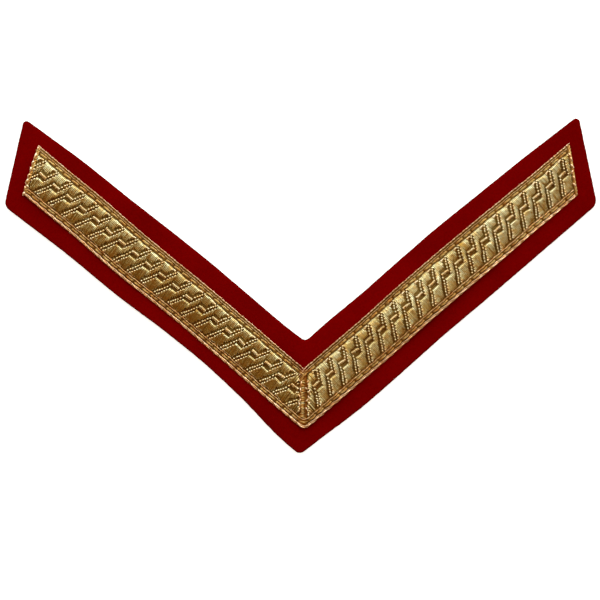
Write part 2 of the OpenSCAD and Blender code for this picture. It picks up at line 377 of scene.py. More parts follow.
def girth_of(tree):
    """The share of the full thickness that a path has at each place."""
    return put(tree, "GeometryNodeInputNamedAttribute", {"Name": "girth"}).outputs["Attribute"]


def close_tree(tree, curve, profile, material):
    """Makes closed tubes round curves, realizes, smooths and paints them, and puts them out."""
    inputs = {"Curve": curve, "Radius": girth_of(tree)}
    girthed = put(tree, "GeometryNodeSetCurveRadius", inputs).outputs[0]
    inputs = {"Curve": girthed, "Profile Curve": profile, "Fill Caps": True}
    tubes = put(tree, "GeometryNodeCurveToMesh", inputs).outputs[0]
    real = put(tree, "GeometryNodeRealizeInstances", {"Geometry": tubes}).outputs[0]
    smooth = put(tree, "GeometryNodeSetShadeSmooth", {"Geometry": real}).outputs[0]
    painted = put(tree, "GeometryNodeSetMaterial", {"Geometry": smooth, "Material": material})
    put(tree, "NodeGroupOutput", {"Geometry": painted.outputs[0]})
    return tree


def grown(tree, name, paths, **values):
    """What a tree makes of paths, as an object of a plain mesh."""
    source = path_object(name, paths)
    modifier = source.modifiers.new("growth", "NODES")
    modifier.node_group = tree
    for socket in tree.interface.items_tree:
        if socket.in_out == "INPUT" and socket.name in values:
            modifier[socket.identifier] = values[socket.name]
    graph = bpy.context.evaluated_depsgraph_get()
    mesh = bpy.data.meshes.new_from_object(source.evaluated_get(graph), depsgraph=graph)
    bpy.data.objects.remove(source)
    mesh.name = name
    return placed(name, mesh)


def upright_curve(tree, geometry):
    """Curves along the edges of a mesh, with their normals kept level."""
    curve = put(tree, "GeometryNodeMeshToCurve", {"Mesh": geometry}).outputs[0]
    return put(tree, "GeometryNodeSetCurveNormal", {"Curve": curve}, mode="Z_UP").outputs[0]


def toned(tree, curve, tone):
    """Gives every curve a tone of its own for the material to read."""
    inputs = {"Geometry": curve, "Name": "tone", "Value": tone}
    return put(tree, "GeometryNodeStoreNamedAttribute", inputs, data_type="FLOAT",
               domain="CURVE").outputs[0]


def round_profile(tree, width, sides):
    circle = put(tree, "GeometryNodeCurvePrimitiveCircle", {"Resolution": sides}, mode="RADIUS")
    tree.links.new(maths(tree, "MULTIPLY", width, 0.5), circle.inputs["Radius"])
    return circle.outputs[0]


def flat_thread_tree():
    """A flattened thread along each path, its profile squared off between a circle and a box."""
    tree, given = new_tree("flat_thread", "GeometryNodeTree", {
        "Geometry": "Geometry", "Width": "Float", "Depth": "Float", "Sides": "Int",
        "Seed": "Int", "Material": "Material"
    }, {"Geometry": "Geometry"})
    chance = put(tree, "FunctionNodeRandomValue", {"Seed": given["Seed"]}, data_type="FLOAT")
    curve = toned(tree, upright_curve(tree, given["Geometry"]), chance.outputs["Value"])
    squeeze = put(tree, "ShaderNodeCombineXYZ", {"X": 1.0, "Y": given["Depth"], "Z": 1.0})
    place = put(tree, "GeometryNodeInputPosition").outputs[0]
    unit = vectors(tree, "ABSOLUTE", vectors(tree, "NORMALIZE", place))
    sides = put(tree, "ShaderNodeSeparateXYZ", {"Vector": unit}).outputs
    fourths = [maths(tree, "POWER", sides[axis], 4.0) for axis in ("X", "Y")]
    squared = maths(tree, "POWER", maths(tree, "ADD", *fourths), -0.25)
    boxed = put(tree, "GeometryNodeSetPosition", {
        "Geometry": round_profile(tree, given["Width"], given["Sides"]),
        "Position": scaled(tree, place, squared)
    })
    profile = put(tree, "GeometryNodeTransform", {
        "Geometry": boxed.outputs[0], "Scale": squeeze.outputs[0]
    })
    return close_tree(tree, curve, profile.outputs[0], given["Material"])


def laid_rope_tree():
    """A rope along each path: strands that wind round it, one turn in every lay."""
    tree, given = new_tree("laid_rope", "GeometryNodeTree", {
        "Geometry": "Geometry", "Strands": "Int", "Strand width": "Float",
        "Winding radius": "Float", "Lay": "Float", "Step": "Float", "Sides": "Int",
        "Material": "Material"
    }, {"Geometry": "Geometry"})
    inputs = {"Curve": upright_curve(tree, given["Geometry"]), "Length": given["Step"]}
    even = put(tree, "GeometryNodeResampleCurve", inputs, mode="LENGTH").outputs[0]
    inputs = {"Geometry": even, "Amount": given["Strands"]}
    strands = put(tree, "GeometryNodeDuplicateElements", inputs, domain="SPLINE").outputs
    along = put(tree, "GeometryNodeSplineParameter").outputs["Length"]
    turns = maths(tree, "DIVIDE", along, given["Lay"])
    start = maths(tree, "DIVIDE", strands["Duplicate Index"], given["Strands"])
    angle = maths(tree, "MULTIPLY", maths(tree, "ADD", turns, start), math.tau)
    level = put(tree, "GeometryNodeInputNormal").outputs[0]
    ahead = put(tree, "GeometryNodeInputTangent").outputs[0]
    upright = vectors(tree, "CROSS_PRODUCT", ahead, level)
    way = []
    for axis, wave in ((level, "COSINE"), (upright, "SINE")):
        reach = maths(tree, "MULTIPLY", given["Winding radius"], girth_of(tree))
        reach = maths(tree, "MULTIPLY", maths(tree, wave, angle), reach)
        way.append(scaled(tree, axis, reach))
    wound = put(tree, "GeometryNodeSetPosition", {
        "Geometry": strands["Geometry"], "Offset": vectors(tree, "ADD", *way)
    })
    curve = toned(tree, wound.outputs[0], strands["Duplicate Index"])
    profile = round_profile(tree, given["Strand width"], given["Sides"])
    return close_tree(tree, curve, profile, given["Material"])


# Materials
def blended(tree, share, first, second, how="MIX"):
    """A blend of two colours by a share, each given as an output or as a constant."""
    mix = put(tree, "ShaderNodeMix", {"Factor": share}, data_type="RGBA", blend_type=how)
    for socket, value in ((mix.inputs[6], first), (mix.inputs[7], second)):
        if isinstance(value, bpy.types.NodeSocket):
            tree.links.new(value, socket)
        else:
            socket.default_value = (*value, 1)
    return mix.outputs[2]


def ranged(tree, value, low, high, to_low=0.0, to_high=1.0):
    return put(tree, "ShaderNodeMapRange", {
        "Value": value, "From Min": low, "From Max": high, "To Min": to_low, "To Max": to_high
    }).outputs[0]


def own_place(tree):
    """Places on the object itself, in metres."""
    return put(tree, "ShaderNodeTexCoord").outputs["Object"]


def clouds(tree, place, scale, detail, roughness=0.5):
    return put(tree, "ShaderNodeTexNoise", {
        "Vector": place, "Scale": scale, "Detail": detail, "Roughness": roughness
    }).outputs[0]


def worn_gilt_group():
    """Gilt that varies from thread to thread and dulls in patches."""
    group, given = new_tree("worn_gilt", "ShaderNodeTree", {
        "Clean": "Color", "Dulled": "Color", "Tone": "Float", "Smoothest": "Float",
        "Roughest": "Float"
    }, {"Colour": "Color", "Roughness": "Float"})
    place = own_place(group)
    patch = ranged(group, clouds(group, place, 400.0, 3.0, 0.6), 0.42, 0.72, 0.0, 0.7)
    cloud = ranged(group, clouds(group, place, 75.0, 1.0), 0.38, 0.62, -0.25, 0.25)
    speck = ranged(group, clouds(group, place, 2600.0, 1.0), 0.35, 0.65, -0.12, 0.22)
    tone = maths(group, "MULTIPLY", given["Tone"], 0.25)
    dull = maths(group, "ADD", maths(group, "ADD", patch, cloud), maths(group, "ADD", tone, speck))
    stain = ranged(group, clouds(group, place, 850.0, 2.0), 0.46, 0.62, 0.0, 0.8)
    worn = blended(group, dull, given["Clean"], given["Dulled"])
    put(group, "NodeGroupOutput", {
        "Colour": blended(group, stain, worn, (1.0, 0.78, 0.52), "MULTIPLY"),
        "Roughness": ranged(group, dull, 0.0, 1.0, given["Smoothest"], given["Roughest"])
    })
    return group


def new_material(name):
    """A new material, its tree and its shader's inputs."""
    material = bpy.data.materials.new(name)
    material.use_nodes = True
    tree = material.node_tree
    return material, tree, tree.nodes["Principled BSDF"].inputs


def bumped(tree, height, strength, distance):
    return put(tree, "ShaderNodeBump", {
        "Height": height, "Strength": strength, "Distance": distance
    }).outputs[0]


WORN_GILT = worn_gilt_group()


def gilt(name, clean, dulled, smoothest, roughest, grain=9000.0):
    """A metallised thread: clean gilt, dulled in patches, with the fine grain of its wrapping."""
    material, tree, shader = new_material(name)
    tone = put(tree, "ShaderNodeAttribute", attribute_name="tone", attribute_type="GEOMETRY")
    worn = put(tree, "ShaderNodeGroup", {
        "Clean": (*clean, 1), "Dulled": (*dulled, 1), "Smoothest": smoothest,
        "Roughest": roughest, "Tone": tone.outputs["Fac"]
    }, node_tree=WORN_GILT)
    tree.links.new(worn.outputs["Colour"], shader["Base Color"])
    tree.links.new(worn.outputs["Roughness"], shader["Roughness"])
    shader["Metallic"].default_value = 1.0
    fine = clouds(tree, own_place(tree), grain, 2.0)
    tree.links.new(bumped(tree, fine, 0.35, 0.00003), shader["Normal"])
    return material


def wool(name, colour, deep):
    """Milled wool cloth: a dense matt nap mottled a little darker where it is low, with painted
    shade on its cut edge.
    """
    material, tree, shader = new_material(name)
    place = own_place(tree)
    nap = clouds(tree, place, 1800.0, 4.0)
    both = maths(tree, "ADD", maths(tree, "MULTIPLY", clouds(tree, place, 60.0, 3.0), 0.5),
                 maths(tree, "MULTIPLY", nap, 0.5))
    napped = blended(tree, ranged(tree, both, 0.38, 0.62), deep, colour)
    upright = put(tree, "ShaderNodeNewGeometry").outputs["True Normal"]
    level = put(tree, "ShaderNodeSeparateXYZ", {"Vector": upright}).outputs["Z"]
    # painted shade: where the face turns steep, at the cut edge, it darkens to 0.3 of the deep
    # colour
    cut = tuple(0.3 * value for value in deep)
    shaded = blended(tree, ranged(tree, level, 0.45, 0.85), cut, napped)
    tree.links.new(shaded, shader["Base Color"])
    shader["Roughness"].default_value = 1.0
    shader["Specular IOR Level"].default_value = 0.0
    tree.links.new(bumped(tree, nap, 0.5, 0.0001), shader["Normal"])
    return material


# Gilt threads: clean and dulled colour, smoothest and roughest
GOLD = gilt("gold_thread", (0.67, 0.645, 0.42), (0.54, 0.385, 0.12), 0.20, 0.32, 3600.0)
# painted highlight: the beads' gilt is a lighter copy of the gold thread, for the bright dots where
# they catch the light
BEAD_HIGHLIGHT_GOLD = gilt("gold_beads", (0.93, 0.85, 0.60), (0.76, 0.63, 0.36), 0.18, 0.30)
DASH_GOLD = gilt("gold_dashes", (0.74, 0.63, 0.42), (0.53, 0.40, 0.19), 0.18, 0.30)
BAND_GOLD = gilt("gold_band", (0.58, 0.43, 0.17), (0.50, 0.26, 0.08), 0.30, 0.50)
# the edge cord's own warm gilt, tinted pink as a painted reflection of the scarlet cloth beside it
CORD_GOLD = gilt("gold_cord", (0.88, 0.62, 0.43), (0.66, 0.38, 0.22), 0.24, 0.42)
RIB_CORD = gilt("rib_cord", (0.86, 0.61, 0.33), (0.60, 0.33, 0.13), 0.24, 0.42)
INNER_CORD = gilt("inner_cord", (0.66, 0.45, 0.25), (0.44, 0.24, 0.10), 0.24, 0.42)
# the edge rope's own warm gilt, tinted pink as a painted reflection of the scarlet cloth beside it
ROPE_GOLD = gilt("gold_rope", (0.84, 0.61, 0.41), (0.58, 0.35, 0.19), 0.22, 0.38)
END_THREAD = gilt("end_thread", (0.95, 0.76, 0.56), (0.80, 0.54, 0.34), 0.24, 0.40)
# painted shade: the gold picks where they pass under, darkened as the gaps between the floats are
# shaded
SHADED_PICK_GOLD = gilt("shaded_pick_gold", (0.25, 0.17, 0.045), (0.23, 0.10, 0.02), 0.30, 0.50)
# the woven ground's own dull gilt, darkened further with painted shade of the gaps between the
# floats over it
SHADED_GROUND_GOLD = gilt("lace_ground", (0.14, 0.075, 0.015), (0.10, 0.042, 0.007), 0.45, 0.60, 6000.0)
FOLD_SHADE = gilt("fold_shade", (0.42, 0.19, 0.04), (0.34, 0.13, 0.022), 0.6, 0.8, 6000.0)
# painted shade: the dark plugs stand in for the shade inside the needle holes
NEEDLE_SHADE = gilt("needle_shade", (0.20, 0.095, 0.02), (0.14, 0.06, 0.01), 0.6, 0.8, 6000.0)
SEWING = gilt("sewing_thread", (0.52, 0.40, 0.17), (0.44, 0.23, 0.07), 0.35, 0.55)
SCARLET = wool("scarlet_cloth", (0.182, 0.0004, 0.0004), (0.138, 0.0003, 0.0003))


# Cords along the lace, by name: place across it as a share of its width, whole width, strands,
# lay, how far a stitch pulls it down and pinches it, and material
CORDS = {
    "edge_cord": (0.499, 0.33, 2, 2.25, 0.0, 0.0, CORD_GOLD),
    "inner_cord": (0.446, 0.28, 2, 2.4, 0.0, 0.0, INNER_CORD),
    "inner_band_cord": (0.398, 0.62, 3, 4.2, 0.35, 0.38, BAND_GOLD),
    "rib_cord": (-0.345, 0.37, 2, 2.755, 0.05, 0.0, RIB_CORD),
    "outer_band_cord": (-0.396, 0.62, 3, 4.2, 0.35, 0.38, BAND_GOLD),
    "edge_rope": (-0.462, 0.86, 3, 8.265, 0.12, 0.12, ROPE_GOLD)
}


# The lace, thread by thread
def surface(arm, s, t):
    """Height of an arm's woven ground, which swells between its sewn edges and leans."""
    share = np.asarray(t) / HALF_W
    tilt = eased(TILT[arm], np.asarray(s) / RUN[arm])
    return GROUND - BULGE * share ** 2 + tilt * share + TILT_LIFT * np.abs(tilt)


def short_arch(inner, outer, rise):
    """Points (t, height) and girths of a bead, plump and sloping to the inside, or of a dash."""
    way = (1 - np.cos(np.linspace(0, math.pi, 9))) / 2
    lean, plump = BEAD_SHAPE if inner - outer < BEAD_LENGTH else DASH_SHAPE
    dome = np.sin(math.pi * way ** lean) ** 0.8
    return inner - (inner - outer) * way, UNDER + (rise - UNDER) * dome, SHORT_END + plump * dome


def float_arch(inner, outer, rise, level):
    """Points (t, height) and girths of a long float, which comes up gently where its neighbours
    stand level with it."""
    length = inner - outer
    body = np.linspace(INNER_STEPS[-1], length - OUTER_STEPS[0], max(2, int(length / BODY_STEP)))
    from_inner = np.concatenate([INNER_STEPS, body[1:], length - OUTER_STEPS[1:]])
    from_outer = length - from_inner
    rising = arc(np.clip(from_inner / (SHOULDER if level else STEEP_START), 0, 1))
    falling = arc(np.clip(from_outer / FLOAT_END, 0, 1))
    height = UNDER + (rise - UNDER) * np.minimum(rising, falling)
    height -= SAG * max(0.0, length - TAUT) * (from_inner / length) ** 1.5
    taper = np.clip(np.minimum(from_inner, from_outer) / TAPER, 0, 1)
    return inner - from_inner, height, END_GIRTH + (1 - END_GIRTH) * taper


def picks(arm):
    """Every pick on one arm, from the mitre to the end: its number, s, and stretch of t."""
    pitch = REPEAT[arm] / PICKS
    for step in range(-PICKS_SPARE, int(RUN[arm] / pitch) + PICKS_SPARE):
        s = START[arm] + (step + SIDE[arm] * PICK_PHASE) * pitch
        low = max(-HALF_W, (s + TURNED_END - RUN[arm]) / END_LEAN[arm])
        high = min(HALF_W, (s - START_S[arm]) / MITRE_LEAN)
        if high - low > SHORTEST_PICK:
            yield SIDE[arm] * step, s, low, high


def pick_line(arm, s, t, height):
    """A route along one pick, from its places across the lace and its height above the ground."""
    plane = spot(arm, s - SIDE[arm] * SKEW[arm] * t, t)
    return np.column_stack([plane, surface(arm, s, t) + height])


def sunk_picks(arm):
    """The picks where they pass under, as ribs of the ground."""
    paths = []
    for _, s, low, high in picks(arm):
        t = np.linspace(min(high, PICK_REACH * LACE_W), max(low, -PICK_REACH * LACE_W), 9)
        if t[0] - t[-1] > SHORTEST_PICK:
            paths.append(pick_line(arm, s, t, UNDER))
    return paths


def floats(arm):
    """Routes of the floats on one arm, by length: long ones, dashes and beads."""
    chance = np.random.default_rng(7 + SIDE[arm])
    long_floats, dashes, beads = [], [], []
    for index, s, low, high in picks(arm):
        for inner, outer in DRAFT[index % PICKS]:
            level = inner in LEVEL_ENDS
            nudge = chance.uniform(-0.05, 0.05)
            nudge += WANDER * noise.noise(Vector((s * 0.35, inner * 6, 2.0)))
            trim = chance.uniform(0.0, 0.3)
            inner = min(inner * LACE_W + nudge, high - trim)
            outer = max(outer * LACE_W + nudge, low + trim)
            if inner - outer < SHORTEST_FLOAT:
                continue
            vary = chance.uniform(0.85, 1.15)
            way = s + chance.uniform(-0.03, 0.03)
            parts = [(inner, outer)]
            if inner - outer > DASH_LENGTH and not level:
                parts = [(inner, inner - DOT), (inner - DOT_LAP * DOT, outer)]
            for inner, outer in parts:
                if inner - outer < DASH_LENGTH:
                    t, height, girth = short_arch(inner, outer, SHORT_RISE * vary)
                else:
                    t, height, girth = float_arch(inner, outer, FLOAT_RISE * vary, level)
                path = pick_line(arm, way, t, height)
                wild = MITRE_MESS * math.exp(-abs(path[0, 0] - APEX[0]) / MITRE_REACH)
                path += wild * chance.uniform(-1.0, 1.0, 3)
                path[:, 2] += waves(path[:, :2], CRUMPLE)
                length = inner - outer
                kind = (beads if length < BEAD_LENGTH else
                        dashes if length < DASH_LENGTH else long_floats)
                kind.append(np.column_stack([path, girth]))
    return long_floats, dashes, beads


def scallop(s):
    """How the sewing draws the lace's edges in, along the arm."""
    return -SCALLOP * np.cos((np.asarray(s) / STITCH_PITCH - NEEDLE_PHASE) * math.tau)


def dimple(s):
    """How far the hand sewing pulls a cord down, from 0 to 1, along the arm."""
    away = np.mod(np.asarray(s) / STITCH_PITCH - NEEDLE_PHASE + 0.5, 1.0) - 0.5
    return np.exp(-(away * STITCH_PITCH / DIMPLE_HALF) ** 2)


def cord_path(arm, name, beyond, scalloped):
    """A cord along one arm from beyond its corner in the mitre, pulled down at every stitch."""
    place, width, _, _, pull, pinch, _ = CORDS[name]
    t = place * LACE_W
    s = np.linspace(t * MITRE_LEAN + beyond, last_s(arm, t), CORD_POINTS)
    plane = spot(arm, s, t + scalloped * scallop(s) * np.sign(t))
    z = surface(arm, s, t) + CORD_LIFT * width - pull * dimple(s)
    return np.column_stack([plane, z, 1 - pinch * dimple(s)])


def bent(first, corner, last, points):
    """Points between the ends of a quadratic bend."""
    share = np.linspace(0, 1, points + 2)[1:-1, None]
    return (1 - share) ** 2 * first + 2 * share * (1 - share) * corner + share ** 2 * last


def turned_cord(name):
    """A cord of both arms that runs on round the mitre."""
    t = CORDS[name][0] * LACE_W
    corner = t * MITRE_LEAN
    left = cord_path("left", name, TURN_REACH, OUTER_SCALLOP)[::-1]
    right = cord_path("right", name, TURN_REACH, OUTER_SCALLOP)
    plane = (spot("left", corner, t) + spot("right", corner, t)) / 2
    vertex = np.append(plane, (left[-1, 2:] + right[0, 2:]) / 2)
    return np.concatenate([left, bent(left[-1], vertex, right[0], 10), right])


def hooked_cord(name):
    """A cord of the right arm that runs over the left arm's at the mitre and ends in a hook."""
    line = cord_path("right", name, HOOK_START, INNER_SCALLOP)
    line[:, 2] += HOOK_LIFT * np.clip(1 - np.arange(len(line)) / HOOK_FADE, 0, 1) ** 2
    x, y = HOOKS[name]
    z = float(surface("left", HOOK_LANDING, CORDS[name][0] * LACE_W)) + HOOK_END_LIFT
    end = np.array([APEX[0] + x, APEX[1] + y, z, HOOK_END_GIRTH])
    way = line[0] - line[3]
    bend = line[0] + way / np.linalg.norm(way[:2]) * HOOK_BEND
    bend[2:] = (line[0, 2] + HOOK_CREST, 1.0)
    return np.concatenate([[end], bent(end, bend, line[0], 8), line])


def lace_ground(arm):
    """The woven ground of one arm's lace."""
    across = np.linspace(-HALF_W + GROUND_INSET, HALF_W - GROUND_INSET, GROUND_COLUMNS)
    edge = np.clip((HALF_W - np.abs(across)) / GROUND_ROUND, 0, 1)
    planes, heights = [], []
    for share in np.linspace(0, 1, GROUND_ROWS):
        s = first_s(arm, across) + share * (last_s(arm, across) - first_s(arm, across))
        planes.append(spot(arm, s, across))
        heights.append(surface(arm, s, across) + UNDER - GROUND_DROP * (1 - arc(edge)))
    return closed_strip("lace_ground_" + arm, planes, heights)


# The cloth backing
CLOTH_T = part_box("cloth_backing")[1].z / MM
CLOTH_WEAR = 0.02  # worn off its face
CUT_STEP = 0.5  # between points along the cut edge
CUT_INSET = 0.06  # how far the cut edge lies inside the solid's
CUT_RAGGED = [(0.06, 0.9, 3.0)]  # rows as for the crumple
CUT_RINGS = (0.12, 0.3, 0.6)
CUT_SOFTNESS = 0.45  # radius of the edge's upper corner
CUT_FOOT = 0.3  # radius of its lower corner
NAP_GRID = 0.55  # between points of the face
NAP_MARGIN = 0.85  # from the edge to the first of them
NOTCH_REACH = 2.5  # how far to each side the notch is rounded
NOTCH_PASSES = 4
SWELL = [(0.10, 0.05, 0.0), (0.035, 0.6, 7.0), (0.03, 2.2, 9.0)]


def rim_of(node):
    """The outline of a node's flat top, in order, in millimetres."""
    work = bmesh.new()
    work.from_mesh(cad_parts[node].data)
    bmesh.ops.remove_doubles(work, verts=work.verts, dist=1e-6)
    top = max(v.co.z for v in work.verts)
    flat = [e for e in work.edges
            if all(abs(v.co.z - top) < 1e-6 for v in e.verts)
            and sum(abs(f.normal.z) > 0.5 for f in e.link_faces) == 1]
    links = {}
    for edge in flat:
        a, b = edge.verts
        links.setdefault(a, []).append(b)
        links.setdefault(b, []).append(a)
    start = flat[0].verts[0]
    loop, before, at = [start], None, start
    while True:
        after = next(v for v in links[at] if v is not before)
        if after is start:
            break
        loop.append(after)
        before, at = at, after
    outline = np.array([(v.co.x, v.co.y) for v in loop]) / MM
    work.free()
    x, y = outline[:, 0], outline[:, 1]
    if np.sum(x * np.roll(y, -1) - np.roll(x, -1) * y) < 0:
        outline = outline[::-1]
    return outline


def evened(outline, step):
    """A closed outline with points about a step apart."""
    closed = np.vstack([outline, outline[:1]])
    run = np.concatenate([[0], np.cumsum(np.linalg.norm(np.diff(closed, axis=0), axis=1))])
    at = np.arange(0, run[-1], step)
    return np.column_stack([np.interp(at, run, closed[:, 0]), np.interp(at, run, closed[:, 1])])


def inset(outline, depth):
    ahead = np.roll(outline, -1, axis=0) - np.roll(outline, 1, axis=0)
    ahead /= np.linalg.norm(ahead, axis=1)[:, None]
    return outline + depth * np.column_stack([-ahead[:, 1], ahead[:, 0]])


def worn_notch(outline):
    """The outline with the foot of the open V rounded, as scissors leave it."""
    near = (np.abs(outline[:, 0] - APEX[0]) < NOTCH_REACH) & (outline[:, 1] > APEX[1])
    for _ in range(NOTCH_PASSES):
        both = np.roll(outline, 1, axis=0) + np.roll(outline, -1, axis=0)
        outline = np.where(near[:, None], (both + 2 * outline) / 4, outline)
    return outline


def distance_to(points, outline):
    """Distance of each point from a closed outline, and whether it lies inside."""
    nearest = np.full(len(points), 1e9)
    inside = np.zeros(len(points), bool)
    for a, b in zip(outline, np.roll(outline, -1, axis=0)):
        along = b - a
        share = np.clip((points - a) @ along / (along @ along), 0, 1)
        nearest = np.minimum(nearest, np.linalg.norm(points - a - share[:, None] * along, axis=1))
        crosses = (a[1] > points[:, 1]) != (b[1] > points[:, 1])
        if crosses.any():
            x = a[0] + (points[crosses, 1] - a[1]) / (b[1] - a[1]) * along[0]
            inside[crosses] ^= points[crosses, 0] < x
    return nearest, inside


def cloth_backing():
    """The scarlet cloth, with soft cut edges and a faint swell of the nap."""
    outline = worn_notch(evened(rim_of("cloth_backing"), CUT_STEP))
    outline = inset(outline, CUT_INSET + waves(outline, CUT_RAGGED)[:, None])
    rings = [inset(outline, depth) for depth in CUT_RINGS]
    low, high = outline.min(0), outline.max(0)
    xs = np.arange(low[0], high[0], NAP_GRID)
    ys = np.arange(low[1], high[1], NAP_GRID * math.sqrt(3) / 2)
    grid = np.array([(x + (NAP_GRID / 2 if j % 2 else 0), y) for j, y in enumerate(ys) for x in xs])
    depth, inside = distance_to(grid, outline)
    grid = grid[inside & (depth > NAP_MARGIN)]
    points = np.concatenate([outline] + rings + [grid])
    count = len(outline)
    edges = [(i, (i + 1) % count) for i in range(count)]
    flat = delaunay_2d_cdt([Vector(p) for p in points], edges, [], 1, 1e-5)
    plane = np.array([tuple(p) for p in flat[0]])
    depth = distance_to(plane, outline)[0]
    softened = CUT_SOFTNESS * (1 - arc(np.clip(depth / CUT_SOFTNESS, 0, 1)))
    top = CLOTH_T - CLOTH_WEAR - softened + waves(plane, SWELL) * np.clip(depth, 0, 1)
    foot = CUT_FOOT * (1 - arc(np.clip(depth / CUT_FOOT, 0, 1)))
    return closed_body("scarlet_backing", plane, top, foot, flat[2])


cloth = cloth_backing()
cloth.data.materials.append(SCARLET)
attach(cloth, "root")
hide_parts("cloth_backing")

thread_tree = flat_thread_tree()
rope_tree = laid_rope_tree()


def in_gold(made):
    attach(made, "root")
    return made


def rope(name, paths, width, strands, lay, material):
    """Laid cords along paths, as one object."""
    strand = width * STRAND_SHARE[strands]
    return in_gold(grown(rope_tree, name, paths, **{
        "Strands": strands, "Strand width": strand * MM, "Sides": 6, "Lay": lay * MM,
        "Winding radius": (width - strand) / 2 * MM, "Step": CORD_STEP * MM, "Material": material
    }))


def threads(name, paths, width, depth, seed, material, sides=8):
    return in_gold(grown(thread_tree, name, paths, Width=width * MM, Depth=depth, Sides=sides,
                         Seed=seed, Material=material))


def stroke(angle, length):
    """Places along a short straight thread, from its middle."""
    return ALONG[:, None] * np.array([math.cos(angle), math.sin(angle)]) * length / 2


def end_line(arm, share, out=0.0):
    """A place on the lace's end, at a share of the way from its top."""
    t = HALF_W - share * LACE_W
    return spot(arm, last_s(arm, t) + out, t)


def end_stitch(arm, share, out, length, turn):
    """The route of one stitch over the lace's end."""
    middle = end_line(arm, share, out)
    along = end_line(arm, 1.0) - end_line(arm, 0.0)
    plane = middle + stroke(math.atan2(along[1], along[0]) + math.radians(turn), length)
    z = float(surface(arm, RUN[arm], HALF_W - share * LACE_W))
    z += END_STITCH_RISE - END_STITCH_DIP * ALONG ** 4
    return np.column_stack([plane, z])


def turned_end(arm):
    """The route of the roll in which the lace's end is turned under."""
    t = np.linspace(HALF_W - TURNED_INSET, -HALF_W + TURNED_INSET, 30)
    plane = spot(arm, last_s(arm, t) - TURNED_END / 2, t)
    return np.column_stack([plane, surface(arm, RUN[arm], t) - TURNED_SUNK])


def fold_middle(y):
    """How far the fold, rolled by hand, stands to the side at a place along it."""
    return FOLD_SHIFT + FOLD_SWAY * noise.noise(Vector((y * 0.7, 4.0, 1.0)))


def mitre_ground(y):
    """Height of the lace along the mitre, before its threads."""
    return GROUND - BULGE * (y / CORNER_REACH) ** 2


def fold_body():
    """The rolled fold of the mitre and the narrow valley to its right."""
    x = np.linspace(*FOLD_SIDES, FOLD_COLUMNS)
    valley = VALLEY_DEPTH * np.exp(-((x - VALLEY_X) / VALLEY_HALF) ** 2)
    planes, heights = [], []
    for y in np.linspace(CORNER_REACH - FOLD_CUT[1], -CORNER_REACH + FOLD_CUT[0], FOLD_ROWS):
        fade = np.clip(min(y - FOLD_SPAN[0], FOLD_SPAN[1] - y) / FOLD_FADE + 0.5, 0, 1)
        roll = np.clip(1 - ((x - fold_middle(y)) / FOLD_HALF) ** 2, 0, None) ** 0.5
        planes.append(APEX + np.column_stack([x, np.full_like(x, y)]))
        heights.append(mitre_ground(y) - FOLD_SUNK + FOLD_RISE * roll * fade - valley)
    return closed_strip("lace_fold", planes, heights)


def fold_picks():
    """The picks that show side by side where they pass over the fold."""
    chance = np.random.default_rng(5)
    paths = []
    for y in np.arange(*FOLD_SPAN, FOLD_PITCH):
        half = ALONG * FOLD_HALF
        x = fold_middle(y) + chance.uniform(-0.15, 0.15) + half * chance.uniform(0.75, 1.2)
        rise = FOLD_RISE + chance.uniform(0.0, 0.22)
        z = mitre_ground(y) - FOLD_SUNK + rise * np.sqrt(1 - (0.94 * ALONG) ** 2)
        lean = y + chance.uniform(-0.06, 0.06) + chance.uniform(-0.25, 0.05) * ALONG
        paths.append(np.column_stack([APEX[0] + x, APEX[1] + lean, z]))
    return paths


def fold_thread(x, y, length, lean):
    """The route of a loose thread beside the fold."""
    plane = APEX + np.array([x, y]) + stroke(math.radians(90 + lean), length)
    z = mitre_ground(y) + FOLD_THREAD_RISE - FOLD_THREAD_DIP * ALONG ** 4
    return np.column_stack([plane, z])


def running_stitches(arm, place, width):
    """Short stitches along a band, from one needle hole to the next."""
    t = place * LACE_W
    paths = []
    first = math.ceil((first_s(arm, t) + SEWING_MARGINS[0]) / STITCH_PITCH)
    last = int((last_s(arm, t) - SEWING_MARGINS[1]) / STITCH_PITCH)
    chance = np.random.default_rng(20 + SIDE[arm])
    for index in range(first, last - 1):
        if chance.random() < WORN_SHARE:
            continue
        reach = ALONG * (STITCH_PITCH / 2 - chance.uniform(0.3, 0.9))
        s = (index + NEEDLE_PHASE + 0.5) * STITCH_PITCH + chance.uniform(-0.3, 0.3) + reach
        z = surface(arm, s, t) + SEWING_RISE * width + chance.uniform(0, 0.12)
        z -= SEWING_DIP * ALONG ** 4
        drift = t + chance.uniform(-0.16, 0.16) * ALONG + chance.uniform(-0.14, 0.14)
        paths.append(np.column_stack([spot(arm, s, drift), z]))
    return paths


def needle_holes(arm, place):
    """The holes of the hand sewing along a band, as short plugs set in the ground, painted dark as
    the shade in the holes.
    """
    t = place * LACE_W
    first = math.ceil((first_s(arm, t) + HOLE_MARGINS[0]) / STITCH_PITCH - NEEDLE_PHASE)
    last = math.ceil((last_s(arm, t) - HOLE_MARGINS[1]) / STITCH_PITCH - NEEDLE_PHASE)
    holes = []
    for index in range(first, last):
        s = (index + NEEDLE_PHASE) * STITCH_PITCH
        x, y = spot(arm, s, t)
        z = float(surface(arm, s, t))
        holes.append(np.array([(x, y, z - NEEDLE_SUNK), (x, y, z + NEEDLE_RISE)]))
    return holes


def cord(name, path, arm=""):
    _, width, strands, lay, _, _, material = CORDS[name]
    return rope(name + arm, [path], width, strands, lay, material)


shared = [cord(name, turned_cord(name)) for name in ("rib_cord", "outer_band_cord", "edge_rope")]

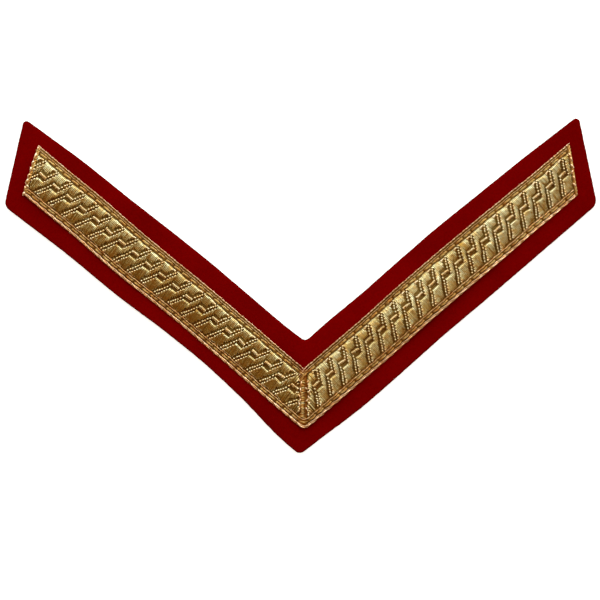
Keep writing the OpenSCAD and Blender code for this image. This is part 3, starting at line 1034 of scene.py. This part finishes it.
fold = in_gold(fold_body())
fold.data.materials.append(FOLD_SHADE)
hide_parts("mitre_fold")
ribs = fold_picks()
shared += [
    fold,
    threads("fold_picks", ribs[0::3] + ribs[1::3], FOLD_THREAD_W, SUNK_DEPTH, 11, BAND_GOLD),
    threads("fold_bright_picks", ribs[2::3], FOLD_THREAD_W, SUNK_DEPTH, 13, GOLD),
    threads("fold_threads", [fold_thread(*row) for row in FOLD_THREADS], FOLD_THREAD_W,
            SEWING_DEPTH, 12, END_THREAD)
]

for seed, arm in enumerate(ARMS, 1):
    ground = in_gold(lace_ground(arm))
    ground.data.materials.append(SHADED_GROUND_GOLD)
    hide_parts("lace_" + arm)
    long_floats, dashes, beads = floats(arm)
    made = [
        threads("lace_picks_" + arm, sunk_picks(arm), SUNK_W, SUNK_DEPTH, seed, SHADED_PICK_GOLD, sides=6),
        threads("lace_floats_" + arm, long_floats, PICK_W, PICK_DEPTH, seed, GOLD),
        threads("lace_dashes_" + arm, dashes, SHORT_W, SHORT_DEPTH, seed + 4, DASH_GOLD),
        threads("lace_beads_" + arm, beads, SHORT_W, SHORT_DEPTH, seed + 2, BEAD_HIGHLIGHT_GOLD)
    ]
    for name in ("edge_cord", "inner_cord", "inner_band_cord"):
        path = hooked_cord(name) if arm == "right" else cord_path(arm, name, -0.25, INNER_SCALLOP)
        made.append(cord(name, path, "_" + arm))
    for name in ("inner_band_cord", "outer_band_cord"):
        place, width = CORDS[name][:2]
        stitches = running_stitches(arm, place, width)
        made.append(threads(name.replace("cord", "stitches_") + arm, stitches,
                            SEWING_W, SEWING_DEPTH, seed, SEWING))
        made.append(rope(name.replace("band_cord", "needle_holes_") + arm,
                         needle_holes(arm, place), NEEDLE_HOLE, 1, 1.0, NEEDLE_SHADE))
    made.append(rope("turned_end_" + arm, [turned_end(arm)], TURNED_END, 4, 3.2, BAND_GOLD))
    made.append(threads("end_stitches_" + arm, [end_stitch(arm, *row) for row in END_STITCHES[arm]],
                        END_STITCH_W, SEWING_DEPTH, seed, END_THREAD))
    shared = []

# Floor, light and camera, the light in metres
FLOOR_HALF = 12000.0
corners = np.array([(-1, -1, 0), (1, -1, 0), (1, 1, 0), (-1, 1, 0)])
floor = mesh_object("floor", corners * FLOOR_HALF, faces=[(0, 1, 2, 3)])
pale, _, paint = new_material("pale_floor")
paint["Base Color"].default_value = (0.9, 0.9, 0.9, 1)
paint["Roughness"].default_value = 0.9
paint["Emission Color"].default_value = (1, 1, 1, 1)
paint["Emission Strength"].default_value = 0.8
floor.data.materials.append(pale)

scene = bpy.context.scene
scene.view_settings.view_transform = "Standard"
scene.view_settings.look = "None"

scene.world = bpy.data.worlds.new("studio")
scene.world.use_nodes = True
sky = scene.world.node_tree
facing = put(sky, "ShaderNodeVectorMath", {
    0: put(sky, "ShaderNodeTexCoord").outputs["Generated"], 1: (0.08, 0.997, 0.0)
}, operation="DOT_PRODUCT").outputs["Value"]
ramp = put(sky, "ShaderNodeValToRGB", {"Fac": ranged(sky, facing, -1.0, 1.0)})
for stop, (place, colour) in enumerate([
    (0.0, (0.085, 0.035, 0.006)), (0.35, (0.11, 0.05, 0.009)), (0.505, (0.13, 0.062, 0.01)),
    (0.55, (0.20, 0.122, 0.038)), (0.585, (0.33, 0.265, 0.14)), (0.63, (0.57, 0.56, 0.47)),
    (1.0, (0.74, 0.79, 0.76))
]):
    mark = ramp.color_ramp.elements[stop] if stop < 2 else ramp.color_ramp.elements.new(place)
    mark.position = place
    mark.color = (*colour, 1)
sky.links.new(ramp.outputs["Color"], sky.nodes["Background"].inputs["Color"])
sky.nodes["Background"].inputs["Strength"].default_value = 2.5

softbox = placed("key_softbox", bpy.data.lights.new("key_softbox", "AREA"))
softbox.data.shape = "RECTANGLE"
softbox.data.size = 0.5
softbox.data.size_y = 0.3
softbox.data.energy = 2.0
softbox.location = (0.15, 0.55, 0.75)
softbox.rotation_euler = (-softbox.location).to_track_quat("-Z", "Y").to_euler()

VIEW_WIDTH = 160.8  # of the frame, where it meets the cloth's face
VIEW_CENTRE = (-0.174, -3.84)  # where the middle of the frame looks
LENS = 110.0
SENSOR = 36.0
camera = placed("camera", bpy.data.cameras.new("camera"))
camera.data.lens = LENS
camera.data.sensor_width = SENSOR
reach = VIEW_WIDTH * LENS / SENSOR
camera.location = (VIEW_CENTRE[0] * MM, VIEW_CENTRE[1] * MM, (reach + CLOTH_T) * MM)
scene.camera = camera
